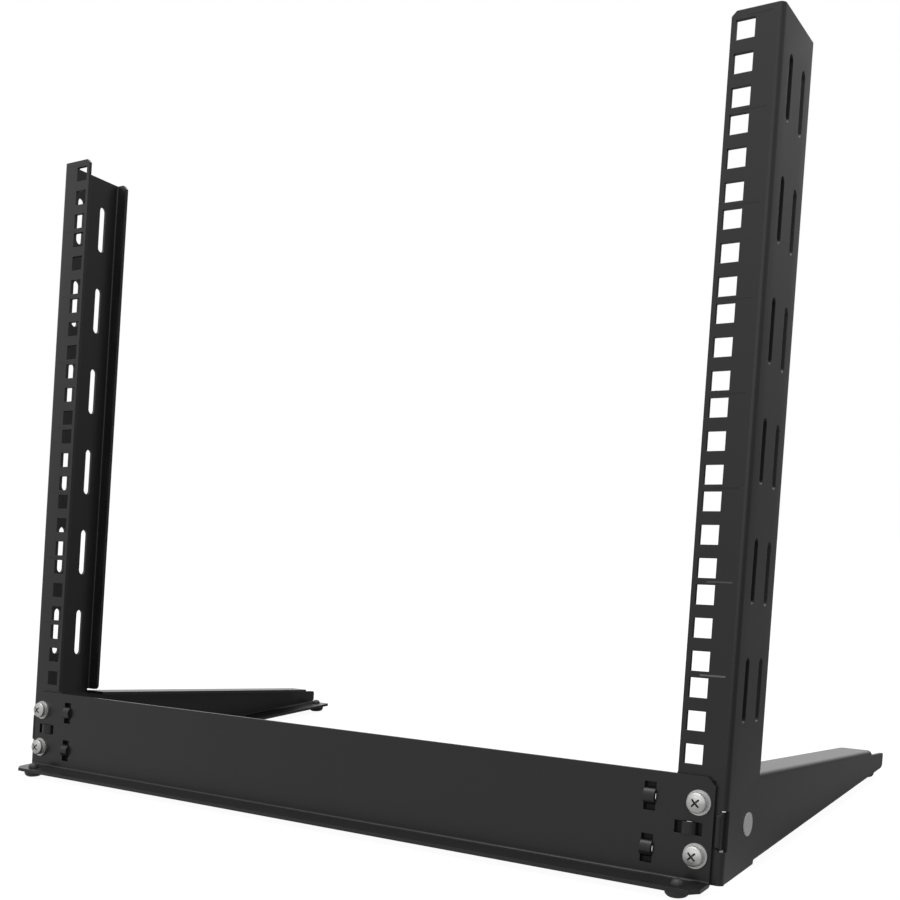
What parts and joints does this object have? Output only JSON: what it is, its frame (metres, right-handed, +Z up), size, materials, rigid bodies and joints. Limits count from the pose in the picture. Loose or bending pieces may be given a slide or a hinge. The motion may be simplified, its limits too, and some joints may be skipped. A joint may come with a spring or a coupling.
{
  "type": "two post open frame rack",
  "caption": "Desktop two post open frame rack: two leaning folded steel sides with square hole columns, joined by a front panel on rubber feet.",
  "frame": {"origin": "middle of the footprint, on the surface that the feet stand on", "axes": "+X to the rack's right across its width, +Y to the rear along the legs, +Z up; the posts lean back from +Z by 6.9 degrees"},
  "size_m": [0.5025, 0.3209, 0.4145],
  "materials": {
    "powder_coat": "satin",
    "zinc_plate": "bright zinc plate",
    "rubber": "matte",
    "grey_disc": "matte"
  },
  "bodies": {
    "root": {"side_frame_right": "powder_coat", "side_frame_left": "powder_coat", "front_panel": "powder_coat", "foot_front_right": "rubber", "foot_rear_right": "rubber", "washer_right_upper": "zinc_plate", "screw_right_upper": "zinc_plate", "nut_right_upper": "zinc_plate", "washer_right_lower": "zinc_plate", "screw_right_lower": "zinc_plate", "nut_right_lower": "zinc_plate", "foot_front_left": "rubber", "foot_rear_left": "rubber", "washer_left_upper": "zinc_plate", "screw_left_upper": "zinc_plate", "nut_left_upper": "zinc_plate", "washer_left_lower": "zinc_plate", "screw_left_lower": "zinc_plate", "nut_left_lower": "zinc_plate", "round_disc_right": "grey_disc"}
  },
  "joints": []
}
